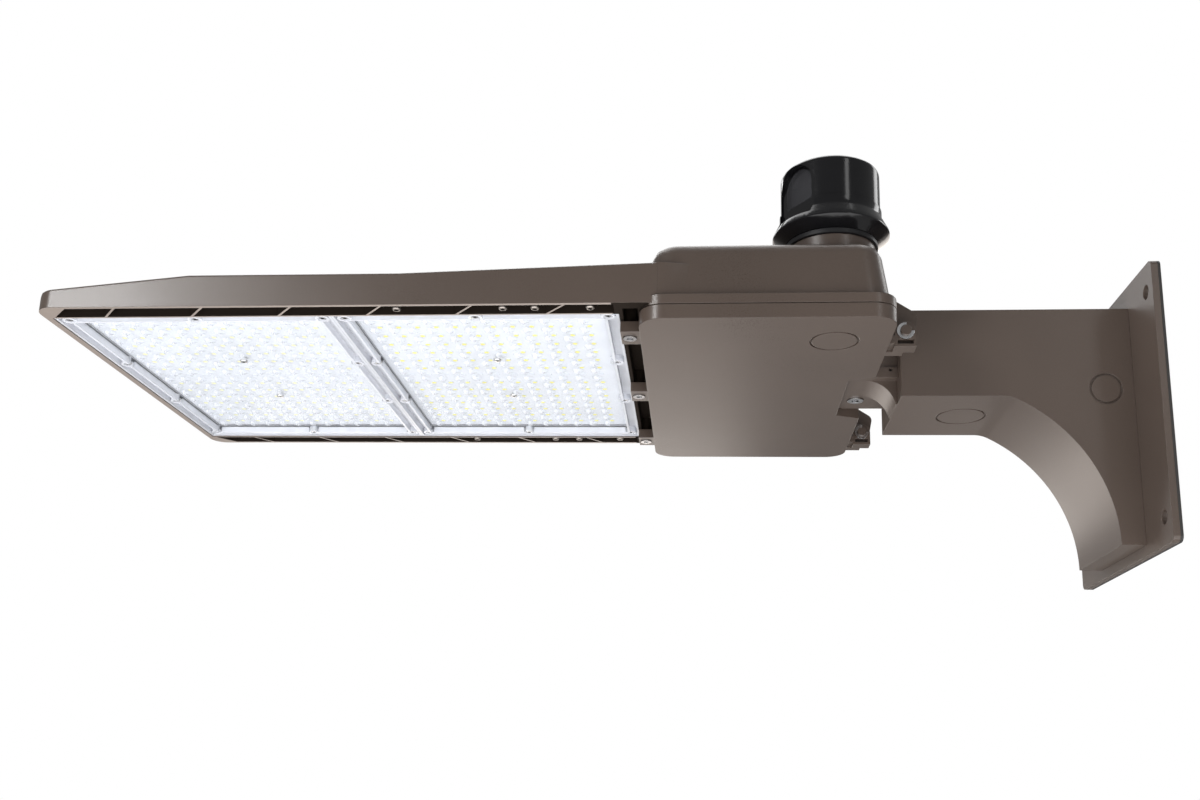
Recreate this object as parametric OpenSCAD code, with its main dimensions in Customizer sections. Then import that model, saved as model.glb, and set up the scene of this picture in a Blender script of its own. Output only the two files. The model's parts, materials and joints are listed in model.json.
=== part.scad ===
// Shoebox area light on a wall arm. Millimetres. The origin is the middle of the back of the wall
// plate's gasket, +X points away from the wall along the head, +Y across it and +Z up.

/* [Wall plate] */
// Width of the wall plate
plate_w = 205; // [190:1:225]
// Height of the wall plate
plate_h = 216; // [212:1:236]
// Thickness of the wall plate
plate_t = 5; // [4:0.5:8]
// Corner radius of the wall plate
plate_r = 5; // [3:1:10]
// Diameter of the four wall bolt holes
wall_hole_d = 11; // [9:0.5:13]
// Distance of a wall bolt hole from the plate's side edge
wall_hole_side = 13.5; // [12:0.5:18]
// Distance of a wall bolt hole from the plate's top or bottom edge
wall_hole_end = 21; // [15:1:26]
// Thickness of the gasket behind the plate
wall_seal_t = 2; // [1:0.5:4]
// Diameter of the wire hole through the plate
wire_hole_d = 46; // [30:1:56]

/* [Arm] */
// Distance from the wall to the front of the arm
arm_reach = 184; // [172:1:200]
// Width of the arm
arm_w = 103; // [98:1:105]
// Height of the arm at its front
arm_h = 72; // [70:1:78]
// Distance of the arm's top from the plate's top edge
arm_down = 18; // [12:1:22]
// Wall thickness of the arm
arm_wall = 5; // [4:0.5:6]
// How far the curve under the arm reaches along it
corbel_run = 75.5; // [70:0.5:84]
// Radius of the soft corner where the curve meets the arm's underside
corner_r = 25; // [10:1:30]
// Distance of the corbel's foot from the plate's bottom edge
foot_up = 8; // [5:1:12]
// Depth of the corbel's foot in front of the plate
corbel_foot = 18; // [16:1:22]
// Diameter of the knockout in the arm's side
side_knock_d = 25; // [20:1:28]
// Distance of the side knockout from the wall
side_knock_x = 28; // [26:1:40]
// Diameter of the knockout in the arm's underside
low_knock_d = 40; // [28:1:44]
// Distance of the underside knockout from the end of the curve
low_knock_out = 27.5; // [24:0.5:36]
// Width of a knockout's groove
groove_w = 1.6; // [1:0.2:2.4]
// Depth of a knockout's groove
groove_t = 1.4; // [0.8:0.2:2]

/* [Neck] */
// Gap between the neck and each side of the recess that it enters
neck_side = 7; // [5:0.5:9]
// Depth of the neck's underside below the arm's top
neck_down = 52; // [50:1:54]
// Radius of the arch under the neck
arch_r = 25; // [20:1:27]
// Width of the arched rib
arch_w = 37; // [30:1:40]
// How far the arched rib reaches past the middle
arch_past = 5; // [0:1:6]
// Diameter of the wire bore through the neck
neck_bore_d = 22; // [16:1:24]

/* [Driver box] */
// Gap between the front of the arm and the rear of the door
rear_gap = 19.5; // [18.5:0.5:24]
// How far the driver box's flange stands out past each side of the head
flange_side = 2.5; // [2:0.1:4]
// Height of the driver box over its flange
box_h = 50.2; // [49:0.2:58]
// How much each side of the box leans in towards its top
box_draft = 7; // [4:0.5:9]
// Wall thickness of the castings
cast_t = 4; // [3.5:0.5:5]
// Radius of the box's upright corners
box_r = 20; // [16:1:24]
// Height of the flange round the foot of the box
flange_h = 7.2; // [6:0.2:9]
// How far the flange stands out past the wall
flange_out = 2.4; // [1.5:0.1:3.5]
// Width of the rear recess at its bottom
recess_in_w = 88; // [84:1:92]
// How much wider the recess is on each side at the door's rear edge
recess_flare = 8.5; // [7:0.5:11]
// Depth of the rear recess
recess_t = 20.5; // [19:0.5:24]

/* [Door] */
// Length of the door
door_len = 182; // [178:1:196]
// Thickness of the door
door_t = 10.7; // [9.5:0.1:12]
// Depth of the door's face below the arm's top
door_down = 56.5; // [55:0.5:58]
// Thickness of the door's face
door_skin = 3.5; // [2.5:0.5:4.5]
// Corner radius of the door
door_r = 18; // [14:1:22]
// Diameter of the door's knockout
door_knock_d = 36; // [28:1:40]
// Distance of an outer front ear's middle from the door's side
front_ear_in = 43; // [36:0.5:50]
// Width of a front ear
ear_w = 25; // [20:1:30]
// Length of a front ear
ear_len = 14.4; // [13.6:0.2:15]
// How far a front ear's face is set back from the door's face
ear_back = 2.6; // [2:0.2:3.4]

/* [Hinge] */
// Diameter of the hinge pins
pin_d = 8; // [6:0.5:9]
// Distance of the hinge axis behind the door's rear edge
pin_behind = 12.5; // [12:0.5:13]
// Height of the hinge axis above the door's face
pin_rise = 11.7; // [11:0.1:12.5]
// Distance of the near hinge ear's inner face from the box's side
near_ear_in = 75.5; // [72:0.5:80]
// Distance of the far hinge ear's outer face from the box's side
far_ear_in = 23.5; // [21:0.5:28]
// Thickness of a hinge ear
hinge_ear_t = 6.5; // [5:0.5:7]
// Radius of a hinge ear round its pin
hinge_ear_r = 8.5; // [7.5:0.1:8.8]
// Length of a hinge lug along its pin
lug_w = 13; // [10:0.5:14]
// Radius of a hinge lug round its pin
lug_r = 8; // [7:0.1:8.4]
// Outer diameter of a pin's retaining ring
clip_d = 13; // [12:0.2:14]
// Thickness of a retaining ring
clip_t = 1.4; // [1:0.1:1.8]

/* [Head] */
// Width of the head
head_w = 342; // [336:1:352]
// Height of the side wall where it meets the box
head_rear_h = 31; // [29:0.5:34]
// Height of the side wall along the middle of the head
head_mid_h = 25; // [24:0.5:28]
// Height of the side wall at the nose
head_nose_h = 14; // [12:0.5:15]
// Distance from the nose to the knee in the top edge
knee_back = 118; // [90:1:150]
// Distance from the box to the shoulder in the top edge
shoulder_out = 184; // [140:1:210]
// Corner radius of the head's plan
head_r = 14; // [8:1:18]
// Length of the nose in front of the optic plates
nose_t = 5.4; // [4:0.2:8]
// Thickness of the head's side wall
side_t = 3; // [2.5:0.5:4]
// Width of the open pockets along each side
pocket_w = 15.5; // [13:0.5:17]
// Distance between the webs in a side pocket
web_pitch = 67; // [60:1:75]
// How far a web leans along the head
web_lean = 15.5; // [8:0.5:20]
// Thickness of a web
web_t = 2.2; // [1.6:0.2:3]
// Number of cooling fins on top of the head
fin_n = 23; // [12:1:27]
// Thickness of a cooling fin
fin_t = 2.4; // [1.8:0.2:3.2]
// Thickness of the plate under the fins
sink_t = 5; // [4:0.5:6]

/* [Optics] */
// Length of one optic plate
lens_len = 215; // [205:1:225]
// Thickness of the wall between the side pockets and the optic plates
rail_t = 2; // [1.6:0.2:3]
// Height of an optic plate's frame
lens_h = 8; // [7:0.5:9]
// Thickness of an optic plate's clear field
field_t = 1.8; // [1.4:0.2:2.4]
// Number of domes along a plate
dome_nx = 12; // [6:1:13]
// Number of domes across a plate
dome_ny = 15; // [7:1:15]
// Distance of the end rows of domes from the plate's ends
dome_end = 25.55; // [24:0.05:29]
// Distance of the outer rows of domes from the plate's sides
dome_side = 25.2; // [24:0.1:30]
// Diameter of a dome at its foot
dome_d = 9.4; // [7:0.2:11]
// Height of a dome
dome_h = 3.2; // [2:0.2:4]
// How far the field of domes is set towards the nose
dome_shift = 3; // [0:0.5:4]
// Width of a rib in an optic plate's frame
rib_t = 2; // [1.4:0.2:2.6]
// Distance between the two ribs of the frame
rib_gap = 7; // [6:0.5:8]
// Diameter of a screw boss in the frame
boss_d = 11; // [9:0.5:12]

/* [Photocell] */
// Distance of the photocell's axis in front of the box's rear edge
cell_out = 40.5; // [38:0.5:60]
// Distance of the photocell's axis from the box's side
cell_in = 57.5; // [55:0.5:72]
// Outer radius of the collar on the box
collar_r = 33; // [32:0.5:36]
// Height of the collar over the box
collar_h = 14; // [10:1:20]
// Radius of the photocell's rim
cell_rim_r = 43.5; // [41:0.5:46]
// Radius of the photocell's body
cell_r = 37; // [34:0.5:38]
// Height of the photocell's base
cell_base_h = 25; // [22:1:30]
// Height of the photocell's cap
cell_cap_h = 33; // [30:1:42]
// Wall thickness of the photocell's cap
cell_wall = 2.2; // [1.6:0.2:3]
// Direction that the photocell's window faces, from +X
window_turn = 36; // [0:1:90]
// Width of the photocell's window panel
window_w = 38; // [30:1:42]

/* [Inside the box] */
// Distance of the driver's ends from the box's sides
driver_end = 65.5; // [60:0.5:84]
// Distance of the driver from the recess behind it
driver_rear = 65.5; // [62:0.5:80]
// Distance of the driver from the door's front edge
driver_front = 30; // [26:0.5:44]
// Height of the driver
driver_h = 34; // [28:1:35]
// Length of the surge protector
surge_len = 58; // [44:1:64]
// Width of the surge protector
surge_w = 36; // [28:1:40]
// Height of the surge protector
surge_h = 26; // [20:1:34]
// Length of the terminal block
term_len = 42; // [34:1:46]
// Width of the terminal block
term_w = 20; // [16:1:24]
// Height of the terminal block
term_h = 18; // [14:1:24]

/* [Fasteners] */
// Thread diameter of the large bolts
bolt_d = 8; // [7:0.5:8.5]
// Thread diameter of the door and plate screws
screw_d = 6; // [5:0.5:6.5]
// Thread diameter of the small screws
small_d = 3.5; // [3:0.5:4]

/* [Clearances] */
// Gap between the door and the flange above it
door_gap = 0.6; // [0.5:0.1:0.8]
// Gap between pieces of different bodies
gap = 0.3; // [0.25:0.05:0.35]
// Radial clearance of a running fit
run_fit = 0.06; // [0.03:0.01:0.09]
// Radial clearance of the door screws in the box
screw_play = 0.6; // [0.5:0.1:0.9]

/* [Hidden] */

bronze = "#5b5049";
dark_bronze = "#4a4039";
clear = [0.86, 0.92, 0.96, 0.5];
zinc = "#c9ccce";

round_fn = 48;
small_fn = 24;
hull_fn = 32;
over = 1;

// Places along the head, from the wall outwards
plate_x = wall_seal_t + plate_t;
foot_x = plate_x + corbel_foot;
low_knock_x = foot_x + corbel_run + low_knock_out;
door_rear = arm_reach + rear_gap;
door_front = door_rear + door_len;
recess_x = door_rear + recess_t;
ear_room = ear_len + door_gap;
lens_rear_x = door_front + ear_room;
lens_mid_x = lens_rear_x + lens_len;
lens_front_x = lens_mid_x + lens_len;
head_front = lens_front_x + nose_t;
box_front = door_front - box_draft - flange_out;

// Places across the head
recess_w = recess_in_w + 2 * recess_flare;
neck_w = recess_in_w - 2 * neck_side;
box_w = head_w + 2 * flange_side;
lens_w = head_w - 2 * side_t - 2 * pocket_w - 2 * rail_t;
cell_y = box_w / 2 - cell_in;
near_ear_y = box_w / 2 - near_ear_in;
far_ear_y = far_ear_in - box_w / 2;
ear_pitch = box_w / 2 - front_ear_in;
driver_len = box_w - 2 * driver_end;

// Heights
arm_rise = plate_h / 2 - arm_down;
arm_low = arm_rise - arm_h;
neck_low = arm_rise - neck_down;
neck_rise = neck_low - arm_low;
door_low = arm_rise - door_down;
corbel_drop = plate_h / 2 - foot_up;
corbel_h = arm_low + corbel_drop;
corbel_r = (pow(corbel_run, 2) + pow(corbel_h, 2)) / (2 * corbel_run);
door_top = door_low + door_t;
flange_low = door_top + door_gap;
flange_top = flange_low + flange_h;
box_top = flange_low + box_h;
roof_low = box_top - cast_t;
rim_step = 1.8;
rim_low = flange_low + rim_step;
lens_set = 0.8;
lens_low = rim_low + lens_set;
lens_top = lens_low + lens_h;
seal_t = 2.4;
bed_z = lens_top + seal_t;
sink_top = bed_z + sink_t;
recess_top = roof_low - cast_t;
neck_top = recess_top - gap / 2;
wire_z = (neck_low + neck_top) / 2;

// Hinge
pin_r = pin_d / 2;
pin_x = door_rear - pin_behind;
pin_z = door_low + pin_rise;
pin_len = hinge_ear_t + gap + lug_w + gap + clip_t + pin_r / 2;
ear_tip_r = 6;
ear_tip_back = 5.5;
ear_tip_rise = 16;
ear_top_rise = 34;
lug_tab_t = 2.3;

// Fasteners
head_share = 1.66;
head_h_share = 0.9;
socket_share = 0.86;
counter_share = 1.76;
pan_share = 1.9;
ear_ys = [-ear_pitch, 0, ear_pitch];
ear_screw_share = 0.55;
ear_screw_x = door_front + ear_len * ear_screw_share;
screw_bite = 7;
wall_hole_y = plate_w / 2 - wall_hole_side;
wall_hole_z = plate_h / 2 - wall_hole_end;

// Screws between the plate and the arm, in posts inside the arm
arm_screw_in = 5;
arm_screw_y = arm_w / 2 - arm_wall - arm_screw_in;
arm_screw_zs = [arm_rise - arm_wall - arm_screw_in, arm_wall + arm_screw_in - corbel_drop];
arm_post = corbel_foot - arm_wall;
side_knock_rise = 6;

// Neck bolts
neck_bolt_in = 11;
neck_bolt_y = neck_w / 2 - neck_bolt_in;
neck_bolt_low = 18;
neck_bolt_high = 8.85;
neck_bolt_zs = [neck_low + neck_bolt_low, neck_top - neck_bolt_high];
neck_bolt_bite = 18;
head_bolt_bite = 14;
neck_screw_out = 27;
neck_screw_x = arm_reach + neck_screw_out;
neck_screw_y = -16;
neck_screw_bite = 20;
neck_counter = 6;
ledge_out = 2;
ledge_h = 9;
pin_hole_d = 2.4;
pin_hole_in = 6;
pin_hole_up = 6.6;
pin_hole_deep = 6;
seal_groove = 2;
seal_w = 4;

// Head
nose_round = 4;
box_top_r = 9;
top_layer_share = 0.5;
fin_margin = 4;
fin_room = head_w - 2 * side_t - 2 * fin_margin;
fin_pitch = fin_room / (fin_n + 1);
tray_in = 10;
tray_rear = box_front + tray_in;
tray_front = head_front - knee_back / 2;
pocket_screw_y = head_w / 2 - side_t - pocket_w / 2;
pocket_screw_shares = [0.3, 0.9, 1.25, 2.42];
pocket_screw_xs = [for (k = pocket_screw_shares) lens_rear_x + k * web_pitch];
lip_w = 7;
lens_play = 0.2;
channel_out = 10;
channel_w = lens_w + 2 * channel_out;
seal_in = 1.6;
door_seal_w = 2.8;
seal_deep = 2.5;

// Duct for the boards' leads
lead_r = 4;
duct_w = 18;
duct_h = 12;
duct_len = 50;
lead_z = bed_z + lead_r + cast_t / 2;
lead_down_x = box_front + duct_len - 2 * lead_r;

// Door
door_rib_n = 5;
ear_counter = 7.2;
knock_off_y = 12;
clip_bite = 0.7;

// Optic plates
board_t = 1.6;
board_w = lens_w - 4 * rib_t - 2 * rib_gap;
board_len = lens_len - 4 * rib_t - 2 * rib_gap;
chip_w = 4;
chip_back = 3;
chip_t = 0.9;
field_z = bed_z - board_t - chip_t - gap - field_t;
boss_in = 8.6;
boss_end_y = lens_w / 2 - boss_in;
boss_side_share = 0.158;
boss_side_y = lens_w * boss_side_share;
boss_counter = 3;
lens_screw_in = 3;
dome_ball = (pow(dome_d / 2, 2) + pow(dome_h, 2)) / (2 * dome_h);
dome_sink = dome_ball - dome_h;
dome_px = (lens_len - 2 * dome_end) / (dome_nx - 1);
dome_py = (lens_w - 2 * dome_side) / (dome_ny - 1);
centre_screw_share = 2.46;
centre_screw_y = dome_py * centre_screw_share;

// Photocell
cell_x = door_rear + cell_out;
collar_top = box_top + collar_h;
ring_h = 3.6;
cell_low = collar_top + gap + ring_h + gap;
cell_rim_rise = 6.6;
panel_up = 12;
panel_down = 2;
panel_sink = 1.2;
window_share = 0.365;
cell_top = cell_low + cell_base_h + cell_cap_h;
panel_low = cell_low + panel_up;
panel_top = cell_top - panel_down;
window_out = sqrt(pow(cell_r, 2) - pow(window_w / 2, 2)) - panel_sink;
blade_n = 3;
blade_ring_r = 18;
blade_t = 1.6;
hub_r = blade_ring_r + 2 * blade_t + gap;
blade_turn = 34;
blade_len = 13;
blade_root = 6;
twist = 20;
gap_turn = 3;
ring_t = 3;
hub_boss_h = 5;
ring_low = roof_low - hub_boss_h - gap - ring_t;
cap_round = 4;
window_rise_share = 0.42;

// Inside the box
driver_x = recess_x + driver_rear;
driver_w = door_front - driver_front - driver_x;
driver_y = -14;
driver_stand = 3;
driver_foot = 12;
driver_holes = [for (s = [-1, 1]) [driver_x + driver_w / 2, driver_y + s * (driver_len + driver_foot) / 2]];
surge_out = 10;
surge_in = 43.5;
surge_y = surge_in - box_w / 2;
term_out = 18;

function tangent(a, ra, b, rb) =
    let (d = b - a, n = norm(d), s = (ra - rb) / n, c = sqrt(1 - s * s))
    let (u = d / n, v = [u.x * s - u.y * c, u.y * s + u.x * c])
    [a + ra * v, b + rb * v];

// Two discs and the straight band that joins them
module link(a, ra, b, rb) {
    translate(a) circle(ra, $fn = round_fn);
    translate(b) circle(rb, $fn = round_fn);
    polygon(concat(tangent(a, ra, b, rb), tangent(b, rb, a, ra)));
}

module round_rect(x0, x1, half, r, fn = round_fn) {
    translate([x0 + r, -half]) square([x1 - x0 - 2 * r, 2 * half]);
    translate([x0, r - half]) square([x1 - x0, 2 * half - 2 * r]);
    for (x = [x0 + r, x1 - r], y = [r - half, half - r]) translate([x, y]) circle(r, $fn = fn);
}

// Extrudes an outline drawn in X and Z across the head, from y0 to y1
module across(y0, y1) {
    translate([0, y1, 0]) rotate([90, 0, 0]) linear_extrude(y1 - y0) children();
}

module slab(z0, z1) {
    translate([0, 0, z0]) linear_extrude(z1 - z0) children();
}

// A socket screw along +Z whose head's bearing face is at the origin and whose head is below it
module socket_screw(d, len) {
    head_h = d * head_h_share;
    difference() {
        union() {
            cylinder(h = len, d = d, $fn = small_fn);
            translate([0, 0, -head_h]) cylinder(h = head_h, d = d * head_share, $fn = round_fn);
        }
        translate([0, 0, -head_h - over]) cylinder(h = head_h / 2 + over, d = d * socket_share, $fn = 6);
    }
}

module knock_groove(d) {
    difference() {
        cylinder(h = 2 * groove_t, d = d, center = true, $fn = round_fn);
        cylinder(h = 3 * groove_t, d = d - 2 * groove_w, center = true, $fn = round_fn);
    }
}

// The wall plate and its gasket
module plate_outline() {
    difference() {
        round_rect(-plate_h / 2, plate_h / 2, plate_w / 2, plate_r);
        for (z = [-1, 1], y = [-1, 1]) translate([z * wall_hole_z, y * wall_hole_y])
            circle(d = wall_hole_d, $fn = round_fn);
        translate([wire_z, 0]) circle(d = wire_hole_d, $fn = round_fn);
    }
}

module stand_up() {
    rotate([0, -90, 0]) mirror([0, 0, 1]) children();
}

module wall_gasket() {
    color("#2c2a29") stand_up() linear_extrude(wall_seal_t) plate_outline();
}

module wall_plate() {
    color(bronze) difference() {
        translate([wall_seal_t, 0, 0]) stand_up() linear_extrude(plate_t) plate_outline();
        for (z = arm_screw_zs, y = [-1, 1]) translate([wall_seal_t, y * arm_screw_y, z]) rotate([0, 90, 0]) {
            cylinder(h = plate_t * 3, d = screw_d, center = true, $fn = round_fn);
            cylinder(h = plate_t, r = screw_d, center = true, $fn = round_fn);
        }
    }
}

module arm_screws() {
    color(zinc) for (z = arm_screw_zs, y = [-1, 1])
        translate([wall_seal_t, y * arm_screw_y, z]) rotate([0, 90, 0]) difference() {
            union() {
                cylinder(h = plate_t + arm_post, d = screw_d, $fn = small_fn);
                cylinder(h = plate_t / 2, r = screw_d, $fn = round_fn);
            }
            translate([0, 0, -over]) cylinder(h = plate_t / 4 + over, d = screw_d * socket_share, $fn = 6);
        }
}

// The side view of the arm, drawn in by a margin
module arm_outline(in, x0) {
    low = arm_low + in;
    big = [foot_x + corbel_r, -corbel_drop];
    rise = arm_low - corner_r + corbel_drop;
    soft = [big.x - sqrt(pow(corbel_r - corner_r, 2) - pow(rise, 2)), arm_low - corner_r];
    touch = big + (soft - big) * (corbel_r + in) / (corbel_r - corner_r);
    translate([x0, low]) square([arm_reach - in - x0, arm_h - 2 * in]);
    difference() {
        translate([x0, in - corbel_drop]) square([big.x - x0, corbel_drop + arm_low]);
        translate(big) circle(corbel_r + in, $fn = round_fn * 2);
    }
    difference() {
        translate([touch.x - over, touch.y]) square([soft.x - touch.x + over, low + over - touch.y]);
        translate(soft) circle(corner_r + in, $fn = round_fn * 2);
    }
}

module arm() {
    color(bronze) difference() {
        union() {
            difference() {
                across(-arm_w / 2, arm_w / 2) arm_outline(0, plate_x);
                across(arm_wall - arm_w / 2, arm_w / 2 - arm_wall) arm_outline(arm_wall, plate_x - over);
            }
            for (z = arm_screw_zs, y = [-1, 1]) translate([plate_x, y * arm_screw_y, z]) rotate([0, 90, 0])
                cylinder(h = arm_post + arm_wall / 2, r = screw_d, $fn = small_fn);
        }
        for (z = arm_screw_zs, y = [-1, 1]) translate([plate_x - over, y * arm_screw_y, z]) rotate([0, 90, 0])
            cylinder(h = arm_post + over, d = screw_d, $fn = round_fn);
        translate([side_knock_x, arm_w / 2, arm_low + side_knock_rise]) rotate([90, 0, 0])
            knock_groove(side_knock_d);
        translate([low_knock_x, 0, arm_low]) knock_groove(low_knock_d);
        neck_bolt_places() translate([-arm_wall - over, 0, 0])
            cylinder_x(arm_wall + 2 * over, bolt_d / 2);
        translate([arm_reach - arm_wall - over, 0, wire_z]) cylinder_x(arm_wall + 2 * over, neck_bore_d / 2);
    }
}

module cylinder_x(h, r) {
    rotate([0, 90, 0]) cylinder(h = h, r = r, $fn = round_fn);
}

// The four bolts through the arm's front wall, at the wall's outer face
module neck_bolt_places() {
    for (y = [-1, 1], z = neck_bolt_zs) translate([arm_reach, y * neck_bolt_y, z]) children();
}

// The four bolts through the wall at the bottom of the box's recess, at its outer face
module head_bolt_places() {
    for (y = [-1, 1], z = neck_bolt_zs) translate([recess_x, y * neck_bolt_y, z]) children();
}

module neck() {
    x0 = arm_reach;
    color(bronze) difference() {
        union() {
            translate([x0, -neck_w / 2, neck_low]) cube([recess_x - x0, neck_w, neck_top - neck_low]);
            translate([x0, -neck_w / 2 - ledge_out, neck_low])
                cube([recess_x - x0 - cast_t, neck_w + 2 * ledge_out, ledge_h]);
            across(-arch_past, arch_w - arch_past) difference() {
                translate([x0, arm_low]) square([arch_r + over, neck_rise + over]);
                translate([x0 + over + arch_r, neck_low - arch_r]) circle(arch_r, $fn = round_fn);
            }
        }
        translate([x0 - over, 0, wire_z]) cylinder_x(recess_x - x0 + 2 * over, neck_bore_d / 2);
        neck_bolt_places() translate([-over, 0, 0]) cylinder_x(neck_bolt_bite + over, bolt_d / 2);
        head_bolt_places() translate([-head_bolt_bite, 0, 0]) cylinder_x(head_bolt_bite + over, bolt_d / 2);
        translate([x0, 0, wire_z]) cylinder_x(seal_groove, neck_bore_d / 2 + seal_w);
        translate([x0 + pin_hole_in, neck_w / 2 + ledge_out + over, neck_low + pin_hole_up]) rotate([90, 0, 0])
            cylinder(h = pin_hole_deep + over, d = pin_hole_d, $fn = small_fn);
        translate([neck_screw_x, neck_screw_y, neck_low]) {
            translate([0, 0, -over]) cylinder(h = neck_screw_bite + over, d = bolt_d, $fn = round_fn);
            translate([0, 0, -over]) cylinder(h = neck_counter + over, d = bolt_d * counter_share, $fn = round_fn);
        }
    }
}

module neck_seal() {
    color("#262423") translate([arm_reach, 0, wire_z]) difference() {
        cylinder_x(seal_groove, neck_bore_d / 2 + seal_w);
        translate([-over, 0, 0]) cylinder_x(seal_groove + 2 * over, neck_bore_d / 2);
    }
}

module neck_bolts() {
    color(zinc) neck_bolt_places() translate([-arm_wall, 0, 0]) rotate([0, 90, 0])
        socket_screw(bolt_d, arm_wall + neck_bolt_bite);
}

module head_bolts() {
    color(zinc) head_bolt_places() translate([cast_t, 0, 0]) rotate([0, -90, 0])
        socket_screw(bolt_d, cast_t + head_bolt_bite);
}

module neck_screw() {
    color(zinc) translate([neck_screw_x, neck_screw_y, neck_low + neck_counter])
        socket_screw(bolt_d, neck_screw_bite - neck_counter);
}

// The recess in the rear of the box and the door, drawn out by a margin
module recess_outline(out) {
    back = door_rear - over;
    polygon([
        [back, recess_w / 2 + out], [door_rear, recess_w / 2 + out], [recess_x + out, recess_in_w / 2 + out],
        [recess_x + out, -recess_in_w / 2 - out], [door_rear, -recess_w / 2 - out],
        [back, -recess_w / 2 - out]
    ]);
}

module door_outline(in) {
    difference() {
        round_rect(door_rear + in, door_front - in, box_w / 2 - in, door_r - in);
        recess_outline(in);
    }
}

// The side view of the head in front of the box
module head_side() {
    z = rim_low;
    polygon([
        [box_front - cast_t, z], [head_front, z], [head_front, z + head_nose_h - nose_round],
        [head_front - nose_round, z + head_nose_h], [head_front - knee_back, z + head_mid_h],
        [box_front + shoulder_out, z + head_mid_h], [box_front, z + head_rear_h],
        [box_front - cast_t, z + head_rear_h]
    ]);
}

module box_layer(in, z) {
    translate([0, 0, z]) linear_extrude(over) round_rect(door_rear + flange_out + in,
        door_front - flange_out - in, box_w / 2 - flange_out - in, box_r - in / 2, hull_fn);
}

// The outer or inner form of the driver box, which leans in and has rounded top edges
module box_form(in, top) {
    hull() {
        box_layer(in, flange_low);
        box_layer(in + box_draft * (1 - box_top_r / box_h), top - box_top_r - over);
        box_layer(in + box_draft + box_top_r * (1 - cos(45)) / 2, top - box_top_r * (1 - sin(45)) - over);
        box_layer(in + box_draft + box_top_r * top_layer_share, top - over);
    }
}

module fins() {
    intersection() {
        across(-head_w / 2, head_w / 2) head_side();
        for (i = [1:fin_n]) translate([tray_rear - over, i * fin_pitch - fin_room / 2 - fin_t / 2, sink_top - over])
            cube([tray_front - tray_rear + 2 * over, fin_t, head_rear_h]);
    }
}

// One side's row of open pockets, split by leaning webs, on the side given by s
module pockets(s) {
    y0 = head_w / 2 - side_t;
    x0 = lens_rear_x + side_t;
    x1 = lens_front_x - side_t;
    difference() {
        slab(rim_low - over, sink_top - sink_t) polygon([
            [x0, s * y0], [x1 - pocket_w, s * y0], [x1, s * (y0 - pocket_w)], [x0, s * (y0 - pocket_w)]
        ]);
        for (i = [1:floor((x1 - x0) / web_pitch)]) {
            x = x0 + i * web_pitch - web_pitch / 2;
            slab(rim_low - 2 * over, sink_top) polygon([
                [x, s * (y0 + over)], [x + web_t, s * (y0 + over)],
                [x + web_t + web_lean, s * (y0 - pocket_w - over)], [x + web_lean, s * (y0 - pocket_w - over)]
            ]);
        }
        for (x = pocket_screw_xs) translate([x, s * pocket_screw_y, rim_low + rim_step])
            cylinder(h = bed_z, r = small_d, $fn = small_fn);
    }
}

// The hinge ear's side view, from the box's rear wall round the pin
module hinge_ear_outline() {
    pin = [pin_x, pin_z];
    tip = [pin_x - ear_tip_back, pin_z + ear_tip_rise];
    wall = door_rear + flange_out + box_draft;
    top = [wall, pin_z + ear_top_rise];
    link(pin, hinge_ear_r, tip, ear_tip_r);
    link(tip, ear_tip_r, top, ear_tip_r);
    polygon([pin, tip, top, [wall, flange_low + gap]]);
}

module ear_places() {
    for (y = [near_ear_y, far_ear_y]) translate([0, y, 0]) children();
}

module driver_bosses() {
    for (p = driver_holes) translate([p.x, p.y, roof_low - driver_stand])
        cylinder(h = driver_stand + over, r = screw_d, $fn = small_fn);
}

module screw_hole(p) {
    translate([p.x, p.y, rim_low]) cylinder(h = bed_z + lens_screw_in - rim_low, d = small_d, $fn = small_fn);
}

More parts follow.
